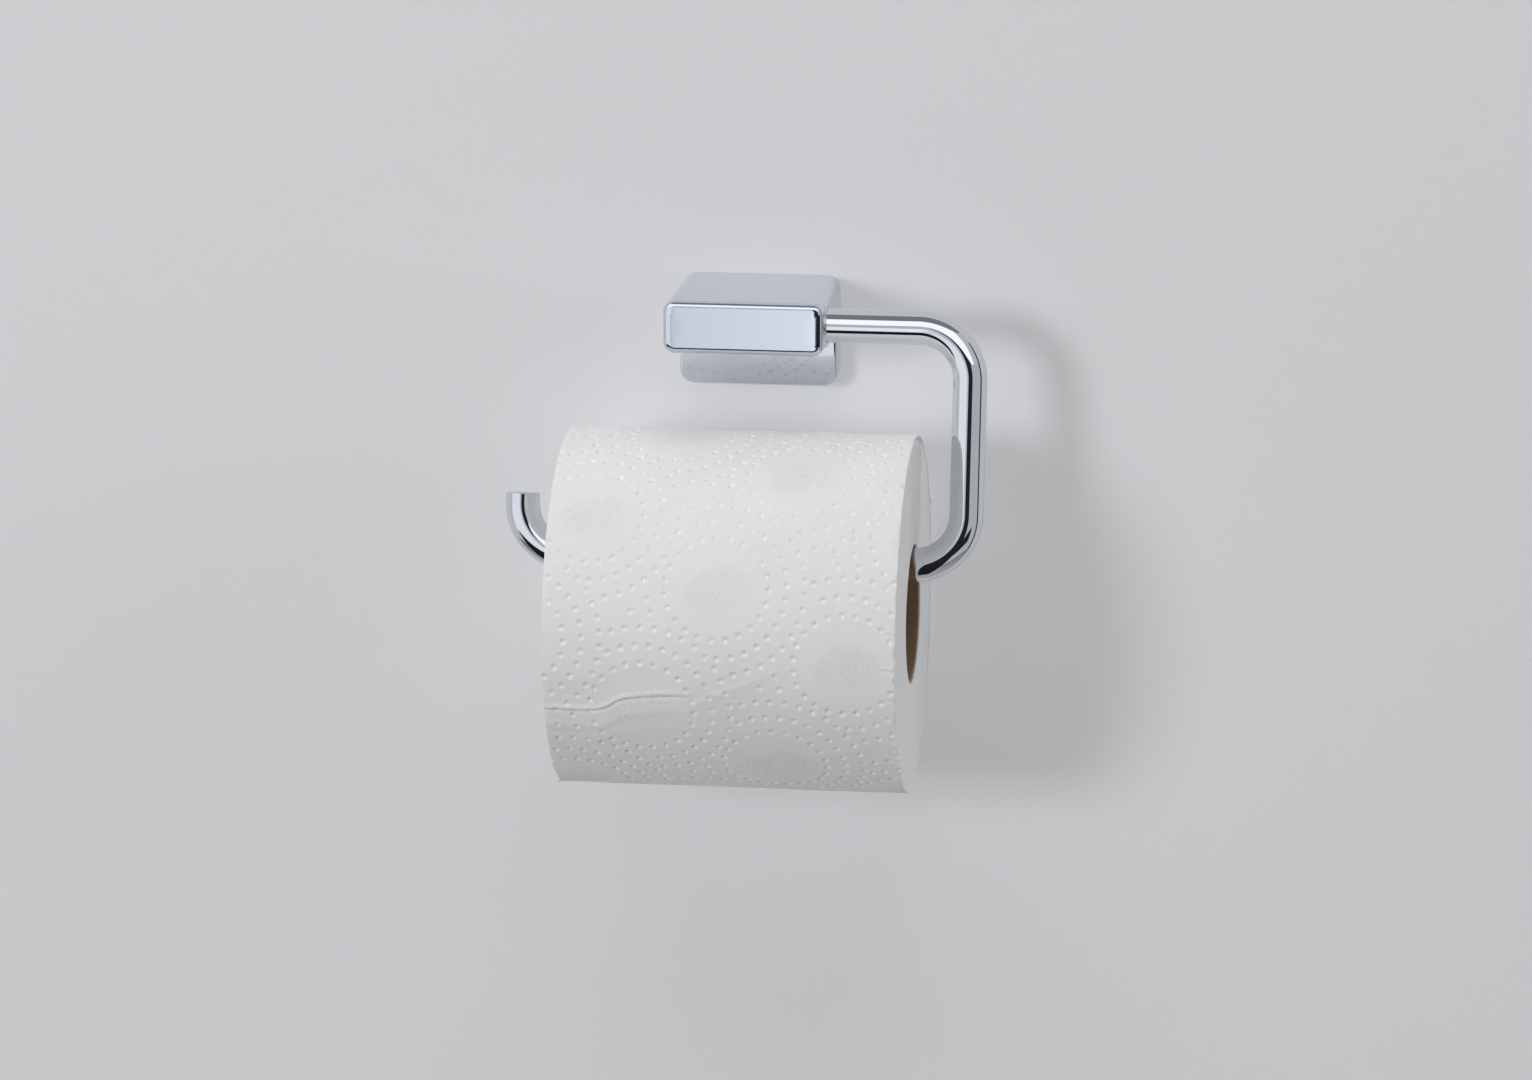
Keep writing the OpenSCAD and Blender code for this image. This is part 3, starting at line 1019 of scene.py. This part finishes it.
def back_sheet(sheet):
    """Turns the sheet's rim in towards the roll and closes the inner face with a bridge."""
    pick(sheet, "edges", lambda edge: edge.is_boundary)
    bpy.ops.mesh.extrude_edges_move()
    cage = bmesh.from_edit_mesh(sheet.data)
    for vert in cage.verts:
        if vert.select:
            outward = Vector((0, vert.co.y - ROLL.y, vert.co.z - ROLL.z))
            vert.co -= outward.normalized() * SHEET
    rim = [edge for edge in cage.edges if edge.select]
    ends = (min(e.verts[0].co.x for e in rim), max(e.verts[0].co.x for e in rim))
    for edge in rim:
        edge.select_set(any(all(near(vert.co.x, end) for vert in edge.verts) for end in ends))
    cage.select_flush_mode()
    bmesh.update_edit_mesh(sheet.data)
    bpy.ops.mesh.bridge_edge_loops()
    pick_open_edges()
    bpy.ops.mesh.edge_face_add()
    bpy.ops.mesh.select_all(action="SELECT")
    bpy.ops.mesh.normals_make_consistent(inside=False)
    return done(sheet)


def tufts(along, around, width):
    """Rise of the torn tufts, and how far each leans out along the roll."""
    rise, lean = 0.0, 0.0
    for side, place, reach, height, out in TUFTS:
        near_rim = math.exp(-(width / 2 - side * along) / (0.8 * MM))
        ragged = 1 + 0.5 * math.sin((around - place) / (0.23 * MM))
        hill = near_rim * math.exp(-((around - place) / reach) ** 2) * ragged
        rise += height * hill
        lean += side * out * hill
    return rise, lean


def fray(outer_face, width, radius):
    """Lifts and leans the torn tufts on the rims of a sheet's outer face."""
    rim_band = 5 * MM
    for vert in outer_face:
        along, out, up = vert.co.x - ROLL.x, ROLL.y - vert.co.y, vert.co.z - ROLL.z
        if width / 2 - abs(along) < rim_band:
            rise, lean = tufts(along, radius * math.atan2(up, out), width)
            grow = 1 + rise / math.hypot(out, up)
            vert.co = (ROLL.x + along + lean, ROLL.y - out * grow, ROLL.z + up * grow)


def make_outer_sheets():
    low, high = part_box("outer_sheet")
    width, radius = high.x - low.x, (high.z - low.z) / 2
    for number in range(SHEETS):
        sheet = make_sheet(number, width, radius)
        smooth(sheet, 60, weighted=False)
        hand_over(sheet, "roll", EMBOSSED, "outer_sheet")


def layer_step(index):
    """How far one band of windings stands out at the roll's end, in an uneven rhythm."""
    return 0.10 * MM * (math.sin(2.4 * index) + 0.6 * math.sin(5.1 * index + 1.0))


def make_paper_roll():
    """The wound paper, uneven at its ends where the windings lie. Between its ends it is a
    little slimmer, so that the pressed dots of the last turn stay clear of it."""
    low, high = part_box("paper_roll")
    outer, inner = (high.z - low.z) / 2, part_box("cardboard_core")[1].z - ROLL.z
    half, bands, shy = (high.x - low.x) / 2, 40, 0.2 * MM
    radii = [inner + (outer - inner) * k / bands for k in range(bands + 1)]
    right = [(half - shy + layer_step(k), radius) for k, radius in enumerate(radii)]
    left = [(-half + shy + layer_step(k + 7), radius) for k, radius in enumerate(radii)]
    step, waist = 1.5 * MM, outer - 0.7 * MM
    middle = [(half - step, outer), (half - 2 * step, waist), (2 * step - half, waist),
              (step - half, outer)]
    rings = right + middle + left[::-1] + right[:1]
    roll = turned("paper_roll", rings, 160, ROLL, closed=True)
    smooth(roll, 60, weighted=False)
    return hand_over(roll, "roll", TISSUE, "paper_roll")


def make_core():
    """Cardboard tube, cut square, with soft rims and the raised lap of its spiral joint inside."""
    low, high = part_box("cardboard_core")
    outer, half = (high.z - low.z) / 2 - FIT, (high.x - low.x) / 2
    inner, soft = outer - 0.87 * MM, 0.25 * MM
    lap_pitch, lap_width, lap_rise = 52 * MM, 0.06, 0.12 * MM
    rings = [(x, inner) for x in np.linspace(-half + soft, half - soft, 60)]
    rings += [(half, inner + soft), (half, outer - soft), (half - soft, outer),
              (-half + soft, outer), (-half, outer - soft), (-half, inner + soft), rings[0]]
    core = turned("cardboard_core", rings, 120, ROLL, closed=True)
    for vert in core.data.vertices:
        along, y, z = vert.co - ROLL
        radius, angle = math.hypot(y, z), math.atan2(z, y)
        if radius < inner + 0.1 * MM:
            lap = (along / lap_pitch + angle / (2 * math.pi)) % 1.0
            grow = 1 + lap_rise / radius * max(0.0, 1 - lap / lap_width)
            vert.co = ROLL + Vector((along, y * grow, z * grow))
    smooth(core, 40, weighted=False)
    return hand_over(core, "roll", CORE_BOARD, "cardboard_core")


# ---------------------------------------------------------------- camera, light and stage

HOLDER_MIDDLE = (0, -0.04, -0.05)
CARD_TONE = (0.88, 0.925, 0.98, 1)
# Studio cards: name, azimuths, elevations, glow at the left and right, and distance
CARDS = (
    ("room", (-180, 180), (-90, 90), (0.62, 0.62), 2.7),
    ("dark_ceiling", (-90, 90), (53, 90), (0.24, 0.24), 2.4),
    ("softbox", (-70, 45), (20, 53), (1.35, 1.35), 2.4),
    ("left_white", (-67, -12), (-19, 20), (1.0, 1.0), 2.4),
    ("front_white", (-12, -3), (-19, 3), (0.70, 1.22), 2.4),
    ("front_grey", (-12, -3), (3, 20), (0.60, 0.60), 2.4),
    ("dark_right_of_camera", (-3, 24), (-5, 20), (0.02, 0.02), 2.4),
    ("dark_right_below", (-3, 52), (-19, -5), (0.02, 0.02), 2.4),
    ("dark_low", (-60, 24), (-60, -19), (0.015, 0.015), 0.85),
    ("right_grey", (24, 83), (-60, 20), (0.55, 0.55), 2.5),
    ("right_edge", (80, 90), (-60, 40), (0.02, 0.02), 2.4))


def from_holder(azimuth, elevation, distance):
    """A place seen from the holder: azimuth 0 is towards the room, + to the right, in degrees."""
    a, e = math.radians(azimuth), math.radians(elevation)
    return distance * Vector((math.sin(a) * math.cos(e), -math.cos(a) * math.cos(e), math.sin(e)))


def add_camera():
    """The camera stands to the right of the middle and looks a little down at the holder."""
    target = Vector((0.0069, -0.045, -0.05405))
    back = from_holder(7.2, 13.8, 1.8)
    data = bpy.data.cameras.new("camera")
    data.sensor_width = 36.0
    data.lens = 145.1
    camera = in_scene("camera", data)
    camera.location = target + back
    camera.rotation_euler = back.to_track_quat("Z", "Y").to_euler()
    bpy.context.scene.camera = camera


def add_light(name, place, size, power):
    """A soft rectangular light aimed at the holder, which the chrome doesn't mirror."""
    data = bpy.data.lights.new(name, "AREA")
    data.shape = "RECTANGLE"
    data.size, data.size_y = size
    data.energy = power
    light = in_scene(name, data)
    light.location = place
    back = Vector(place) - Vector(HOLDER_MIDDLE)
    light.rotation_euler = back.to_track_quat("Z", "Y").to_euler()
    light.visible_glossy = False
    light.visible_camera = False


def add_world(level, backdrop):
    """A faint light from all sides, with a paler tone where the camera sees past the stage."""
    world = bpy.data.worlds.new("room")
    bpy.context.scene.world = world
    world.use_nodes = True
    tree = world.node_tree
    background = tree.nodes["Background"]
    background.inputs["Color"].default_value = (0.97, 0.98, 1.0, 1)
    seen = tree.nodes.new("ShaderNodeLightPath").outputs["Is Camera Ray"]
    strength = math_node(tree, "ADD", math_node(tree, "MULTIPLY", seen, backdrop - level), level)
    link(tree, strength, background.inputs["Strength"])


def add_stage_plane(name, size, place, turn, material, tree, shader):
    """A wide plane that is seen only from its front."""
    clear = tree.nodes.new("ShaderNodeBsdfTransparent")
    mix = tree.nodes.new("ShaderNodeMixShader")
    behind = tree.nodes.new("ShaderNodeNewGeometry").outputs["Backfacing"]
    feed(tree, mix.inputs, (behind, shader.outputs[0], clear.outputs[0]))
    link(tree, mix.outputs[0], tree.nodes["Material Output"].inputs["Surface"])
    bpy.ops.mesh.primitive_plane_add(size=size, location=place, rotation=turn)
    plane = named(name)
    plane.data.materials.append(material)
    return plane


def add_stage():
    """A pale wall just behind the holder and a pale floor far below it."""
    painted = new_material(
        "painted_wall", Base_Color=(0.48, 0.485, 0.495, 1), Roughness=0.5, Specular_IOR_Level=0.2,
        Emission_Color=(0.97, 0.975, 1.0, 1), Emission_Strength=0.265)
    wall = add_stage_plane("backdrop", 3.0, (0, 0.3 * MM, 0), (math.pi / 2, 0, 0), *painted)
    wall.visible_shadow = False
    ground = new_material("pale_floor", Base_Color=(0.60, 0.60, 0.60, 1), Roughness=0.6)
    add_stage_plane("floor", 7.0, (0, 0, -1.4), (0, 0, 0), *ground)


def glow_material(name):
    """Light of one tone, as strong as the mesh's own glow attribute says."""
    material = bpy.data.materials.new(name)
    material.use_nodes = True
    tree = material.node_tree
    tree.nodes.clear()
    level = tree.nodes.new("ShaderNodeAttribute")
    level.attribute_name = "glow"
    glow = tree.nodes.new("ShaderNodeEmission")
    glow.inputs["Color"].default_value = CARD_TONE
    link(tree, level.outputs["Fac"], glow.inputs["Strength"])
    link(tree, glow.outputs[0], tree.nodes.new("ShaderNodeOutputMaterial").inputs["Surface"])
    return material


def add_card(name, azimuths, elevations, levels, distance, steps=24):
    """A studio card that only the chrome mirrors: part of a sphere round the holder, between
    two azimuths and two elevations. Its glow runs from the first level to the second."""
    bpy.ops.mesh.primitive_grid_add(x_subdivisions=steps, y_subdivisions=steps, size=1)
    card = named(name)
    glow_at = []
    for vert in card.data.vertices:
        across, up = vert.co.x + 0.5, vert.co.y + 0.5
        vert.co = from_holder(azimuths[0] + (azimuths[1] - azimuths[0]) * across,
                              elevations[0] + (elevations[1] - elevations[0]) * up, distance)
        glow_at.append(levels[0] + (levels[1] - levels[0]) * across)
    card.data.attributes.new("glow", "FLOAT", "POINT").data.foreach_set("value", glow_at)
    card.data.materials.append(glow_material(name))
    for ray in ("camera", "diffuse", "shadow", "transmission", "volume_scatter"):
        setattr(card, f"visible_{ray}", False)


def add_studio():
    add_world(0.085, 0.55)
    add_light("key", from_holder(-30, 9, 2.0), (0.45, 0.45), 15.2)
    add_light("overhead", from_holder(-8, 62, 1.8), (1.5, 1.2), 11.5)
    add_light("side", from_holder(65, 12, 1.8), (0.8, 0.8), 5.0)
    add_light("behind", (0.0, 1.6, 0.6), (1.4, 1.4), 6.0)
    for card in CARDS:
        add_card(*card)


# ---------------------------------------------------------------- build

add_camera()
add_studio()
add_stage()
make_housing()
make_collar()
make_bush()
make_washer()
make_wall_screws()
make_grub_screw()
make_retaining_screw()
make_bracket()
make_arm()
make_outer_sheets()
make_paper_roll()
make_core()

bpy.context.scene.view_settings.view_transform = "Standard"
